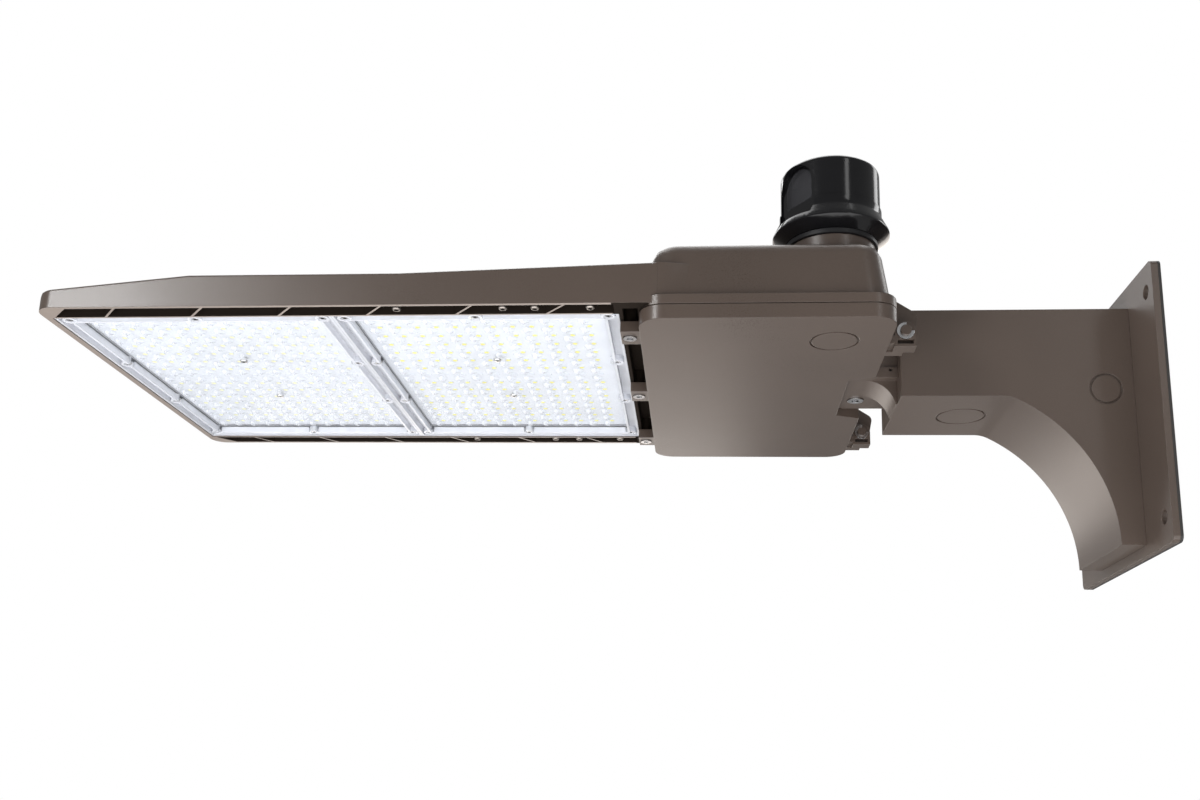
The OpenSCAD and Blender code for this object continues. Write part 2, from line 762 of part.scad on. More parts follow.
module head_housing() {
    color(bronze) difference() {
        union() {
            difference() {
                union() {
                    intersection() {
                        across(-head_w / 2, head_w / 2) head_side();
                        slab(0, box_top) round_rect(door_rear, head_front, head_w / 2, head_r);
                    }
                    box_form(0, box_top);
                    slab(flange_low, flange_top) round_rect(door_rear, door_front, box_w / 2, door_r);
                    cell_at(roof_low) cylinder(h = collar_h + cast_t, r = collar_r, $fn = round_fn);
                    ear_places() across(0, hinge_ear_t) hinge_ear_outline();
                }
                // the driver compartment
                difference() {
                    union() {
                        box_form(cast_t, roof_low);
                        slab(flange_low - over, flange_low + over) round_rect(door_rear + lip_w,
                            door_front - lip_w, box_w / 2 - lip_w, door_r - lip_w / 2);
                    }
                    slab(0, box_top) recess_outline(cast_t);
                    driver_bosses();
                    cell_at(roof_low - hub_boss_h)
                        cylinder(h = hub_boss_h + over, r = hub_r + ring_t, $fn = round_fn);
                    slab(flange_low - 2 * over, flange_low + flange_h / 2) recess_outline(lip_w);
                }
                slab(0, recess_top) recess_outline(0);
                // the tray that holds the fins
                slab(sink_top, box_top + over) round_rect(tray_rear, tray_front, fin_room / 2, head_r);
                // the bed of the two optic plates
                slab(rim_low - over, bed_z) translate([lens_rear_x, -lens_w / 2 - lens_play])
                    square([2 * lens_len, lens_w + 2 * lens_play]);
                for (s = [-1, 1]) pockets(s);
                // the channel that takes the door's front ears
                slab(rim_low - over, bed_z) translate([door_front + over, -channel_w / 2])
                    square([ear_room - over - side_t, channel_w]);
            }
            fins();
            slab(sink_top - over, bed_z + duct_h) translate([tray_rear - over, -duct_w / 2])
                square([duct_len - tray_in + over, duct_w]);
            for (y = ear_ys) translate([ear_screw_x, y, flange_low])
                cylinder(h = bed_z - flange_low, r = screw_d, $fn = round_fn);
        }
        for (y = ear_ys) translate([ear_screw_x, y, flange_low - over])
            cylinder(h = screw_bite + 2 * over, r = screw_d / 2 + screw_play, $fn = round_fn);
        slab(flange_low - over, flange_low + seal_deep) difference() {
            door_outline(seal_in);
            door_outline(seal_in + door_seal_w);
        }
        cell_at(roof_low - hub_boss_h - over)
            cylinder(h = hub_boss_h + collar_h + cast_t + 2 * over, r = hub_r, $fn = round_fn);
        ear_places() translate([pin_x, -over, pin_z]) rotate([-90, 0, 0])
            cylinder(h = hinge_ear_t + 2 * over, d = pin_d, $fn = round_fn);
        head_bolt_places() translate([-over, 0, 0]) cylinder_x(cast_t + 2 * over, bolt_d / 2);
        translate([recess_x - over, 0, wire_z]) cylinder_x(cast_t + 2 * over, neck_bore_d / 2);
        translate([box_front - 2 * cast_t, 0, lead_z]) cylinder_x(duct_len + cast_t, lead_r);
        translate([lead_down_x, 0, bed_z - over]) cylinder(h = lead_z - bed_z + over, r = lead_r, $fn = round_fn);
        for (x = [-1, 1]) for (p = screw_places(lens_mid_x + x * lens_len / 2)) screw_hole(p);
        for (x = pocket_screw_xs, s = [-1, 1]) screw_hole([x, s * pocket_screw_y]);
        for (p = driver_holes) translate([p.x, p.y, roof_low - driver_stand - over])
            cylinder(h = driver_stand + cast_t / 2 + over, d = small_d, $fn = small_fn);
    }
}

module door() {
    color(bronze) difference() {
        union() {
            difference() {
                slab(door_low, door_top) door_outline(0);
                slab(door_low + door_skin, door_top + over) door_outline(cast_t);
            }
            for (y = ear_ys) slab(door_low + ear_back, door_top) translate([door_front - cast_t, y - ear_w / 2])
                square([ear_len + cast_t, ear_w]);
            for (i = [1:door_rib_n]) slab(door_low + door_skin - over, door_top - door_skin)
                translate([recess_x + cast_t, i * box_w / (door_rib_n + 1) - box_w / 2])
                    square([door_front - recess_x - 2 * cast_t + over, web_t]);
            ear_places() translate([0, hinge_ear_t + gap, 0]) door_lug();
        }
        for (y = ear_ys) translate([ear_screw_x, y, door_low]) {
            cylinder(h = 2 * door_t, d = screw_d + 2 * gap, $fn = round_fn);
            cylinder(h = ear_counter, d = screw_d * counter_share + gap, $fn = round_fn);
        }
        translate([cell_x, cell_y + knock_off_y, door_low]) knock_groove(door_knock_d);
        ear_places() translate([pin_x, hinge_ear_t, pin_z]) rotate([-90, 0, 0])
            cylinder(h = lug_w + 2 * over, r = pin_r + run_fit, $fn = round_fn);
    }
}

// A hinge lug on the door: an eye round the pin, a lightened block below it and the tab that carries it
module door_lug() {
    difference() {
        union() {
            across(0, lug_w) {
                translate([pin_x, pin_z]) circle(lug_r, $fn = round_fn);
                translate([pin_x - lug_r, door_low]) square([2 * lug_r, pin_rise]);
            }
            across(0, lug_w) translate([pin_x, door_low + lug_tab_t])
                square([pin_behind + cast_t, door_t - 2 * lug_tab_t]);
        }
        translate([pin_x - lug_r + web_t, lug_w / 2, door_low + web_t])
            cube([2 * lug_r - 2 * web_t, lug_w, pin_rise - pin_r - 2 * web_t]);
    }
    across(-hinge_ear_t - gap, over) translate([pin_x, door_low]) square([pin_behind + cast_t, lug_tab_t]);
}

module door_gasket() {
    color("#2a2827") slab(flange_low - gap, flange_low + seal_deep) difference() {
        door_outline(seal_in);
        door_outline(seal_in + door_seal_w);
    }
}

module door_screws() {
    head_low = door_low + ear_counter;
    color(zinc) for (y = ear_ys) translate([ear_screw_x, y, head_low])
        socket_screw(screw_d, flange_low + screw_bite - head_low);
}

module hinge_pins() {
    color(bronze) ear_places() translate([pin_x, 0, pin_z]) rotate([-90, 0, 0]) difference() {
        cylinder(h = pin_len, r = pin_r, $fn = round_fn);
        translate([0, 0, hinge_ear_t + lug_w + 2 * gap]) difference() {
            cylinder(h = clip_t, r = pin_r + over, $fn = round_fn);
            translate([0, 0, -over]) cylinder(h = clip_t + 2 * over, r = pin_r - clip_bite, $fn = round_fn);
        }
    }
}

module hinge_clips() {
    color(zinc) ear_places() translate([pin_x, hinge_ear_t + lug_w + 2 * gap, pin_z]) rotate([-90, 0, 0])
        difference() {
            cylinder(h = clip_t, d = clip_d, $fn = round_fn);
            translate([0, 0, -over]) cylinder(h = clip_t + 2 * over, r = pin_r - clip_bite, $fn = round_fn);
            translate([0, 0, -over]) linear_extrude(clip_t + 2 * over) polygon([
                [0, 0], [-clip_d, 0], [-clip_d, -clip_d], [-clip_t, -clip_d]
            ]);
        }
}

function dome_places(x) = [
    for (i = [0:dome_nx - 1], j = [0:dome_ny - 1])
        [x + dome_shift + (i - (dome_nx - 1) / 2) * dome_px, (j - (dome_ny - 1) / 2) * dome_py]
];

// The screw bosses of one optic plate: corners, middles of the long sides and two on each end
function boss_places(x) = concat(
    [for (s = [-1, 0, 1], t = [-1, 1]) [x + s * (lens_len / 2 - boss_in), t * boss_end_y]],
    [for (s = [-1, 1], t = [-1, 1]) [x + s * (lens_len / 2 - boss_in), t * boss_side_y]]
);

// Every screw that goes through an optic plate into the head
function screw_places(x) = concat(boss_places(x), [for (s = [-1, 1]) [x, s * centre_screw_y]]);

module led_board(x) {
    color("#eef0ee") difference() {
        union() {
            slab(bed_z - board_t, bed_z) translate([x - board_len / 2, -board_w / 2])
                square([board_len, board_w]);
            slab(bed_z - board_t - chip_t, bed_z - board_t + chip_t / 2) for (p = dome_places(x))
                translate(p - [chip_back + chip_w / 2, chip_w / 2]) square(chip_w);
        }
        for (s = [-1, 1]) translate([x, s * centre_screw_y, bed_z - 2 * board_t])
            cylinder(h = 3 * board_t, d = small_d, $fn = small_fn);
    }
}

module led_board_front() { led_board(lens_mid_x + lens_len / 2); }
module led_board_rear() { led_board(lens_mid_x - lens_len / 2); }

module lens_gasket(x) {
    color("#3a3a3a") slab(lens_top, bed_z) translate([x, 0]) difference() {
        square([lens_len - lens_play, lens_w], center = true);
        square([board_len + lens_play, board_w + lens_play], center = true);
        for (p = boss_places(0)) translate(p) circle(d = small_d, $fn = small_fn);
    }
}

module lens_gasket_front() { lens_gasket(lens_mid_x + lens_len / 2); }
module lens_gasket_rear() { lens_gasket(lens_mid_x - lens_len / 2); }

module frame_rib(in) {
    difference() {
        square([lens_len - lens_play - 2 * in, lens_w - 2 * in], center = true);
        square([lens_len - lens_play - 2 * in - 2 * rib_t, lens_w - 2 * in - 2 * rib_t], center = true);
    }
}

module lens(x) {
    edge = 2 * rib_t + rib_gap;
    color(clear) difference() {
        union() {
            slab(field_z, field_z + field_t) translate([x, 0])
                square([lens_len - lens_play, lens_w], center = true);
            slab(field_z, lens_top) translate([x, 0]) difference() {
                square([lens_len - lens_play, lens_w], center = true);
                square([lens_len - 2 * edge, lens_w - 2 * edge], center = true);
            }
            slab(lens_low, field_z + field_t / 2) translate([x, 0]) {
                frame_rib(0);
                frame_rib(rib_t + rib_gap);
            }
            for (p = boss_places(x)) translate([p.x, p.y, lens_low + lens_set])
                cylinder(h = lens_h - 2 * lens_set, d = boss_d, $fn = small_fn);
            for (p = dome_places(x)) translate([p.x, p.y, field_z + dome_sink]) intersection() {
                sphere(dome_ball, $fn = small_fn);
                translate([0, 0, -dome_ball]) cylinder(h = dome_ball, r = dome_ball, $fn = small_fn);
            }
        }
        for (p = boss_places(x)) translate([p.x, p.y, 0]) {
            cylinder(h = bed_z, d = small_d, $fn = small_fn);
            cylinder(h = lens_low + boss_counter, d = small_d * 2, $fn = small_fn);
        }
        for (s = [-1, 1]) translate([x, s * centre_screw_y, 0]) cylinder(h = bed_z, d = small_d, $fn = small_fn);
    }
}

module lens_front() { lens(lens_mid_x + lens_len / 2); }
module lens_rear() { lens(lens_mid_x - lens_len / 2); }

module pan_screw(len) {
    cylinder(h = len, d = small_d, $fn = small_fn);
    translate([0, 0, -small_d / 2]) cylinder(h = small_d / 2, d = small_d * pan_share, $fn = small_fn);
}

module lens_screws() {
    low = lens_low + boss_counter;
    color(zinc) for (x = [-1, 1]) for (p = boss_places(lens_mid_x + x * lens_len / 2))
        translate([p.x, p.y, low]) pan_screw(bed_z + lens_screw_in - low);
}

module centre_screws() {
    color(zinc) for (x = [-1, 1], s = [-1, 1])
        translate([lens_mid_x + x * lens_len / 2, s * centre_screw_y, field_z]) pan_screw(bed_z + lens_screw_in - field_z);
}

module pocket_screws() {
    low = rim_low + rim_step;
    color(zinc) for (x = pocket_screw_xs, s = [-1, 1])
        translate([x, s * pocket_screw_y, low]) pan_screw(bed_z + lens_screw_in - low);
}

module led_driver() {
    top = roof_low - driver_stand;
    color("#d8dadb") difference() {
        union() {
            translate([driver_x, driver_y - driver_len / 2, top - driver_h]) cube([driver_w, driver_len, driver_h]);
            translate([driver_x + driver_w / 4, driver_y - driver_len / 2 - driver_foot, top - cast_t])
                cube([driver_w / 2, driver_len + 2 * driver_foot, cast_t]);
        }
        for (p = driver_holes) translate([p.x, p.y, top - cast_t - over])
            cylinder(h = cast_t + 2 * over, d = small_d, $fn = small_fn);
    }
}

module driver_screws() {
    color(zinc) for (p = driver_holes) translate([p.x, p.y, roof_low - driver_stand - cast_t])
        pan_screw(cast_t + driver_stand + cast_t / 2);
}

module surge_protector() {
    color("#8f2d26") translate([recess_x + surge_out, surge_y, roof_low - surge_h]) cube([surge_w, surge_len, surge_h]);
}

module terminal_block() {
    color("#e9e7df") translate([recess_x + term_out, -term_len / 2, roof_low - term_h]) difference() {
        cube([term_w, term_len, term_h]);
        for (i = [1:3]) translate([term_w / 2, i * term_len / 4, -over])
            cylinder(h = term_h / 2, d = term_w / 3, $fn = small_fn);
    }
}

module ground_screw() {
    color("#3f7f4a") translate([recess_x + term_out + term_w / 2, term_len, roof_low - 2 * small_d]) {
        cylinder(h = 2 * small_d, d = small_d, $fn = small_fn);
        cylinder(h = small_d, d = 3 * small_d, $fn = 6);
    }
}

module board_grommet() {
    color("#242322") translate([box_front - 2 * cast_t, 0, lead_z]) difference() {
        union() {
            cylinder_x(3 * cast_t, lead_r);
            cylinder_x(cast_t / 2, lead_r + cast_t / 2);
        }
        translate([-over, 0, 0]) cylinder_x(3 * cast_t + 2 * over, lead_r / 2);
    }
}

// The turning socket in the collar, with three curved slots for the photocell's blades
module receptacle() {
    color("#1c1c1c") cell_at(0) difference() {
        union() {
            translate([0, 0, ring_low - gap]) cylinder(h = collar_top + 2 * gap - ring_low, r = hub_r - run_fit, $fn = round_fn);
            translate([0, 0, collar_top + gap]) cylinder(h = ring_h, r = collar_r + rim_step, $fn = round_fn);
        }
        for (i = [0:blade_n - 1]) rotate([0, 0, i * 360 / blade_n - gap_turn]) translate([0, 0, cell_low - blade_len - over])
            rotate_extrude(angle = blade_turn + twist + 2 * gap_turn, $fn = round_fn)
                translate([blade_ring_r - blade_t, 0]) square([2 * blade_t, blade_len + 2 * over]);
    }
}

module receptacle_ring() {
    color(zinc) cell_at(ring_low) difference() {
        cylinder(h = ring_t, r = hub_r + ring_t, $fn = round_fn);
        translate([0, 0, -over]) cylinder(h = ring_t + 2 * over, r = hub_r - run_fit, $fn = round_fn);
    }
}

module cell_at(z) {
    translate([cell_x, cell_y, z]) children();
}

// The flat panel that carries the photocell's window, as a cutting block
module panel_cut() {
    h = panel_top - panel_low - window_w / 2;
    cell_at(panel_low) rotate([0, 0, window_turn]) translate([window_out, 0, 0]) rotate([90, 0, 90])
        linear_extrude(cell_rim_r) {
            translate([-window_w / 2, 0]) square([window_w, h]);
            translate([0, h]) circle(window_w / 2, $fn = round_fn);
        }
}

module window_block(grow, depth) {
    r = window_w * window_share + grow;
    cell_at(cell_low + cell_base_h) rotate([0, 0, window_turn]) translate([window_out - depth, 0, cell_wall]) rotate([90, 0, 90])
        linear_extrude(depth + over) {
            translate([-r, -grow]) square([2 * r, cell_cap_h * window_rise_share + grow]);
            translate([0, cell_cap_h * window_rise_share]) circle(r, $fn = round_fn);
        }
}

module photocell_base() {
    z = cell_low;
    color("#111111") difference() {
        cell_at(z) rotate_extrude($fn = round_fn * 2) polygon([
            [0, 0], [collar_r + rim_step, 0], [cell_rim_r - over, cell_rim_rise - over],
            [cell_rim_r, cell_rim_rise], [cell_rim_r, cell_rim_rise + over],
            [cell_r + over, cell_base_h - blade_root], [cell_r + over, cell_base_h], [0, cell_base_h]
        ]);
        panel_cut();
        cell_at(z - over) for (i = [0:blade_n - 1]) rotate([0, 0, i * 360 / blade_n])
            rotate_extrude(angle = blade_turn, $fn = round_fn)
                translate([blade_ring_r - blade_t / 2, 0]) square([blade_t, blade_root + over]);
    }
}

module photocell_blades() {
    color("#c8a565") cell_at(cell_low - blade_len) for (i = [0:blade_n - 1]) rotate([0, 0, i * 360 / blade_n])
        rotate_extrude(angle = blade_turn, $fn = round_fn)
            translate([blade_ring_r - blade_t / 2, 0]) square([blade_t, blade_len + blade_root]);
}

module photocell_cap() {
    z = cell_low + cell_base_h;
    r = cell_r;
    color("#101010") difference() {
        cell_at(z) rotate_extrude($fn = round_fn * 2) {
            square([r, cell_cap_h - cap_round]);
            square([r - cap_round, cell_cap_h]);
            translate([r - cap_round, cell_cap_h - cap_round]) circle(cap_round, $fn = round_fn);
        }
        cell_at(z - over) cylinder(h = cell_cap_h - cell_wall + over, r = window_out - 2 * cell_wall, $fn = round_fn);
        panel_cut();
        window_block(0, cell_r);
    }
}

module photocell_window() {
    color([0.8, 0.84, 0.86, 0.5]) intersection() {
        window_block(0, 2 * cell_wall);
        cell_at(cell_low) cylinder(h = cell_top, r = cell_rim_r, $fn = round_fn);
        difference() {
            cell_at(0) translate([0, 0, cell_low]) cylinder(h = cell_top, r = cell_rim_r, $fn = round_fn);
            panel_cut();
        }
    }
}

module photocell_sensor() {
    z = cell_low + cell_base_h;
    color("#e8e8e4") cell_at(z) rotate([0, 0, window_turn]) {
        translate([window_out / 3, -window_w / 4, 0]) cube([board_t, window_w / 2, cell_cap_h / 2]);
        translate([window_out / 3, 0, cell_cap_h / 3]) cylinder_x(3 * board_t, window_w / 10);
    }
}

wall_gasket();
wall_plate();
arm();
arm_screws();
neck();
neck_seal();
neck_bolts();
head_bolts();
neck_screw();
head_housing();
door();
door_gasket();
door_screws();
hinge_pins();
hinge_clips();
led_board_front();
led_board_rear();
lens_gasket_front();
lens_gasket_rear();
lens_front();
lens_rear();
lens_screws();
centre_screws();
pocket_screws();
led_driver();
driver_screws();
surge_protector();
terminal_block();
ground_screw();
board_grommet();
receptacle();
receptacle_ring();
photocell_base();
photocell_cap();
photocell_window();
photocell_sensor();
photocell_blades();
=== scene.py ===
import bpy, bmesh, json, math
from mathutils import Matrix, Vector


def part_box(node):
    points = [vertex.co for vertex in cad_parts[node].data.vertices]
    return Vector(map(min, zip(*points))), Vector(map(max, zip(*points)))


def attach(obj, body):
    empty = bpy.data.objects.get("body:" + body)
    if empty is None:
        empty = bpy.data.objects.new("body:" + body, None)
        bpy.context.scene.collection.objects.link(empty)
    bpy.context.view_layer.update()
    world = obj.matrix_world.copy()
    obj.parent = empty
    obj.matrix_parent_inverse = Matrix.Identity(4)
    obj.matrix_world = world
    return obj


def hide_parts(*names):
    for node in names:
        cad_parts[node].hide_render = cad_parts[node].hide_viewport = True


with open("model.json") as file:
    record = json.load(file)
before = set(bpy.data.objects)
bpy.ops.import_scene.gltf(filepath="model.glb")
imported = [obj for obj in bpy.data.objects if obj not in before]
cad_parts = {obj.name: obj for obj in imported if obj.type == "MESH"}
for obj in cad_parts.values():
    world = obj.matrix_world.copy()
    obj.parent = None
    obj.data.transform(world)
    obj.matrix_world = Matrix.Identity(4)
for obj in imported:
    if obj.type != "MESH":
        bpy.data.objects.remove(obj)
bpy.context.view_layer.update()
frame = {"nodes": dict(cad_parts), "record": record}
mm = 0.001
print("frame loaded,", len(frame["nodes"]), "nodes")

# studio: camera as in the photograph, pale floor, soft lamps

shot = {
    "place": (0.33767, 0.94840, -0.29347),
    "right": (-0.99609, -0.08396, 0.02734),
    "up": (0.00748, 0.22825, 0.97357),
    "ahead": (0.08798, -0.96998, 0.22673),
    "lens": 35.405,
    "shiftY": 0.1,
}
studio = {
    "floorZ": -1.5, "floorSize": 120.0, "floorGlow": 0.62, "floorColor": (0.86, 0.86, 0.86, 1),
    "skyLight": 0.18, "skyGloss": 0.3, "warmTint": (0.08, 0.15),
}
lamps = [  # name, place, aimed at, width, height, watts, warmth
    ("noseLamp", (2.03, 2.07, 0.93), (0.83, 0.17, 0.07), 0.5, 0.5, 26.0, 0.0),
    ("lowLamp", (0.85, -2.0, -0.22), (0.1, 0.0, -0.1), 1.3, 0.65, 7.0, 1.0),
    ("underLamp", (0.6, 0.5, -0.58), (0.45, -0.1, 0.05), 2.4, 1.0, 15.0, 0.0),
    ("backLamp", (-0.6, -1.6, 0.3), (0.2, 0.0, 0.1), 1.0, 1.0, 9.0, 1.0),
    ("topLamp", (0.4, -0.7, 2.4), (0.4, 0.0, 0.0), 2.4, 2.0, 48.0, 0.0),
    ("stripLamp", (-0.95, 1.9, 1.15), (0.244, 0.116, 0.14), 0.3, 1.0, 3.4, 0.0),
    ("rimLamp", (1.2, -1.9, 1.2), (0.244, 0.116, 0.14), 0.4, 1.2, 6.0, 0.0),
    ("wallLamp", (-1.3, -1.0, 1.1), (0.244, 0.116, 0.14), 0.6, 1.0, 6.0, 0.0),
]


def addCamera():
    camera = bpy.data.cameras.new("photoCamera")
    camera.sensor_fit = "HORIZONTAL"
    camera.sensor_width = 36
    camera.lens = shot["lens"]
    camera.shift_y = shot["shiftY"]
    camera.clip_start = 0.01
    holder = bpy.data.objects.new("photoCamera", camera)
    bpy.context.scene.collection.objects.link(holder)
    turn = Matrix([shot["right"], shot["up"], [-v for v in shot["ahead"]]]).transposed()
    holder.matrix_world = Matrix.Translation(shot["place"]) @ turn.to_4x4()
    bpy.context.scene.camera = holder


def addLamps():
    greenLoss, blueLoss = studio["warmTint"]
    for name, place, aim, width, height, watts, warmth in lamps:
        lamp = bpy.data.lights.new(name, "AREA")
        lamp.shape = "RECTANGLE"
        lamp.size, lamp.size_y, lamp.energy = width, height, watts
        lamp.color = (1, 1 - greenLoss * warmth, 1 - blueLoss * warmth)
        holder = bpy.data.objects.new(name, lamp)
        bpy.context.scene.collection.objects.link(holder)
        holder.location = place
        holder.rotation_euler = (Vector(aim) - Vector(place)).to_track_quat("-Z", "Y").to_euler()
        holder.visible_camera = False


# node trees: one class for a socket's value, one for a tree, one for a material

class Wire:
    def __init__(self, tree, socket):
        self.tree, self.socket = tree, socket

    def __add__(self, other):
        return self.tree.maths("ADD", self, other)

    def __radd__(self, other):
        return self.tree.maths("ADD", other, self)

    def __sub__(self, other):
        return self.tree.maths("SUBTRACT", self, other)

    def __rsub__(self, other):
        return self.tree.maths("SUBTRACT", other, self)

    def __mul__(self, other):
        return self.tree.maths("MULTIPLY", self, other)

    def __rmul__(self, other):
        return self.tree.maths("MULTIPLY", other, self)

    def __truediv__(self, other):
        return self.tree.maths("DIVIDE", self, other)

    def __rtruediv__(self, other):
        return self.tree.maths("DIVIDE", other, self)


class Tree:
    def __init__(self, tree):
        self.nodes, self.links = tree.nodes, tree.links
        self.nodes.clear()

    def add(self, kind, settings=None, values=None, out=0):
        node = self.nodes.new(kind)
        for key, value in (settings or {}).items():
            setattr(node, key, value)
        for key, value in (values or {}).items():
            self.plug(node.inputs[key], value)
        return Wire(self, node.outputs[out])

    def plug(self, socket, value):
        if isinstance(value, Wire):
            self.links.new(value.socket, socket)
        else:
            socket.default_value = value

    def maths(self, operation, *values):
        return self.add("ShaderNodeMath", {"operation": operation}, dict(enumerate(values)))

    def part(self, vector, axis):
        return self.add("ShaderNodeSeparateXYZ", None, {0: vector}, axis)

    def ramp(self, amount, low, high, first=0.0, last=1.0):
        # first at low and last at high
        values = {"Value": amount, "From Min": low, "From Max": high, "To Min": first, "To Max": last}
        return self.add("ShaderNodeMapRange", {"clamp": True}, values)

    def between(self, amount, first, second):
        # a mix of two colours
        settings = {"data_type": "RGBA", "clamp_factor": True}
        return self.add("ShaderNodeMix", settings, {0: amount, 6: first, 7: second}, 2)


class Finish(Tree):
    def __init__(self, name, **fixed):
        self.material = bpy.data.materials.new(name)
        self.material.use_nodes = True
        super().__init__(self.material.node_tree)
        self.shader = self.nodes.new("ShaderNodeBsdfPrincipled")
        self.output = self.nodes.new("ShaderNodeOutputMaterial")
        self.bare = Wire(self, self.shader.outputs[0])
        self.plug(self.output.inputs["Surface"], self.bare)
        self.place = self.add("ShaderNodeTexCoord", out="Object")
        self.feed(**fixed)

    def feed(self, **values):
        for key, value in values.items():
            self.plug(self.shader.inputs[key.replace("_", " ")], value)

    def noise(self, scale, detail=2.0, rough=0.5):
        values = {"Vector": self.place, "Scale": scale, "Detail": detail, "Roughness": rough}
        return self.add("ShaderNodeTexNoise", None, values)

    def bump(self, height, depth, strength=1.0, edge=0.0):
        # surface grain, over edges that are rounded by the radius edge
        values = {"Height": height, "Distance": depth, "Strength": strength}
        if edge:
            values["Normal"] = self.add("ShaderNodeBevel", {"samples": 4}, {"Radius": edge})
        self.feed(Normal=self.add("ShaderNodeBump", None, values))


def shade(color, factor):
    return tuple(min(1, c * factor) for c in color[:3]) + (1,)


def powderCoat(name, color, rough=0.34, gloss=0.5, edge=0.7 * mm):
    # satin powder coat: orange peel, fine sparkle and slow changes of tone
    finish = Finish(name, Metallic=0.0, Specular_IOR_Level=gloss)
    peel = finish.noise(520, 2.5, 0.55)
    grain = finish.noise(2100, 2.0, 0.6)
    tone = finish.noise(9, 3.0, 0.5)
    speck = finish.ramp(grain, 0.56, 0.72)
    base = finish.between(finish.ramp(tone, 0.3, 0.7), shade(color, 0.94), shade(color, 1.06))
    finish.feed(Base_Color=finish.between(speck * 0.3, base, shade(color, 1.8)),
                Roughness=rough + (tone - 0.5) * 0.12 + (grain - 0.5) * 0.2)
    finish.bump(peel * 0.7 + grain * 0.3, 0.0001, 0.5, edge)
    return finish.material


def zincPlate(name, color=(0.72, 0.72, 0.73, 1), rough=0.22):
    # plated or stainless steel with turning marks
    finish = Finish(name, Metallic=1.0)
    marks = finish.noise(900, 3.0, 0.6)
    cloud = finish.ramp(finish.noise(160, 2.0, 0.5), 0.35, 0.7)
    finish.feed(Base_Color=finish.between(cloud, shade(color, 0.86), shade(color, 1.12)),
                Roughness=rough + (marks - 0.5) * 0.22)
    finish.bump(marks, 0.00004, 0.4)
    return finish.material


def moulded(name, color, rough=0.5, grainScale=1500, depth=0.00006, **fixed):
    # moulded rubber or plastic with a fine grain
    finish = Finish(name, **fixed)
    grain = finish.noise(grainScale, 2.0, 0.55)
    cloud = finish.noise(24, 2.0, 0.5)
    finish.feed(Base_Color=finish.between(finish.ramp(cloud, 0.3, 0.7), shade(color, 0.95), shade(color, 1.05)),
                Roughness=rough + (grain - 0.5) * 0.16 + (cloud - 0.5) * 0.06)
    finish.bump(grain, depth, 0.5)
    return finish.material


def clearPlastic(name, color, rough, alpha, tint=0.96):
    # clear polycarbonate: see-through, with a faint ripple from the mould
    finish = Finish(name, IOR=1.49, Specular_IOR_Level=0.5)
    ripple = finish.noise(60, 2.0, 0.5)
    fine = finish.noise(700, 2.0, 0.5)
    finish.feed(Base_Color=finish.between(finish.ramp(ripple, 0.3, 0.7), shade(color, tint), color),
                Roughness=rough + (fine - 0.5) * 0.06, Alpha=alpha + (ripple - 0.5) * 0.1)
    finish.bump(ripple * 0.8 + fine * 0.2, 0.00006, 0.35)
    return finish.material


def domePlastic(name, middleX, optics):
    # a dome of the optic plate: painted shade in grey at its foot, milkier towards the nose and lighter there as a
    # painted highlight, and clear over its package
    finish = Finish(name, IOR=1.49, Specular_IOR_Level=0.6)
    x, z = finish.part(finish.place, 0), finish.part(finish.place, 2)
    first = middleX + (optics["shift"] - optics["count"][0] / 2 * optics["pitch"][0]) * mm
    across = finish.maths("FRACT", (x - first) / (optics["pitch"][0] * mm))
    foot = finish.ramp(z, (optics["fieldZ"] - optics["footDepth"]) * mm, optics["fieldZ"] * mm)
    # towards the nose the dome gets milkier, and its lighter colour there is a painted highlight
    milkyAndLit = finish.ramp(across, 0.38, 0.66)
    ripple = finish.noise(300, 2.0, 0.5)
    body = finish.between(milkyAndLit * 0.8 + ripple * 0.2, (0.80, 0.83, 0.88, 1), (0.90, 0.92, 0.97, 1))
    # the grey at the foot is painted shade
    finish.feed(Base_Color=finish.between(foot * 0.6, body, (0.44, 0.47, 0.54, 1)),
                Alpha=0.1 + milkyAndLit * 0.5 + foot * 0.2, Roughness=0.06 + ripple * 0.06)
    finish.bump(ripple, 0.00003, 0.3)
    return finish.material


# the optic plates' sizes in millimetres, as the CAD has them
optics = {
    "middles": {"lens_rear": 508.0, "lens_front": 723.0}, "count": (12, 15), "pitch": (14.9, 17.9),
    "shift": 3.0, "fieldZ": 53.2, "chipZ": 55.3, "chipBack": 3.0, "length": 215.0, "width": 301.0,
    "frame": 11.2, "footDepth": 1.3, "domeFrom": 0.05,
}
bronze = (0.086, 0.064, 0.052, 1)
finishes = {
    "arm_bronze": powderCoat("armBronze", bronze, 0.36),
    "head_bronze": powderCoat("headBronze", bronze, 0.32),
    "seal_rubber": moulded("sealRubber", (0.030, 0.028, 0.027, 1), 0.62),
    "zinc_steel": zincPlate("zincSteel"),
    "clear_optic": clearPlastic("clearOptic", (0.90, 0.93, 0.98, 1), 0.14, 0.2),
    "white_board": moulded("whiteBoard", (0.84, 0.87, 0.93, 1), 0.4, 900, 0.00003),
    "driver_silver": moulded("driverSilver", (0.62, 0.63, 0.64, 1), 0.34, 1200, 0.00005, Metallic=0.9),
    "surge_red": moulded("surgeRed", (0.30, 0.035, 0.03, 1), 0.4),
    "terminal_white": moulded("terminalWhite", (0.74, 0.73, 0.68, 1), 0.45),
    "ground_green": moulded("groundGreen", (0.04, 0.26, 0.10, 1), 0.35),
    "socket_black": moulded("socketBlack", (0.016, 0.016, 0.017, 1), 0.45, Specular_IOR_Level=0.25),
    "cell_black": moulded("cellBlack", (0.006, 0.006, 0.007, 1), 0.14, 900, 0.00002, Specular_IOR_Level=0.35),
    "cell_clear": clearPlastic("cellClear", (0.10, 0.10, 0.11, 1), 0.08, 0.3),
    "sensor_pale": moulded("sensorPale", (0.72, 0.72, 0.68, 1), 0.5),
    "contact_brass": zincPlate("contactBrass", (0.62, 0.46, 0.2, 1), 0.3),
}
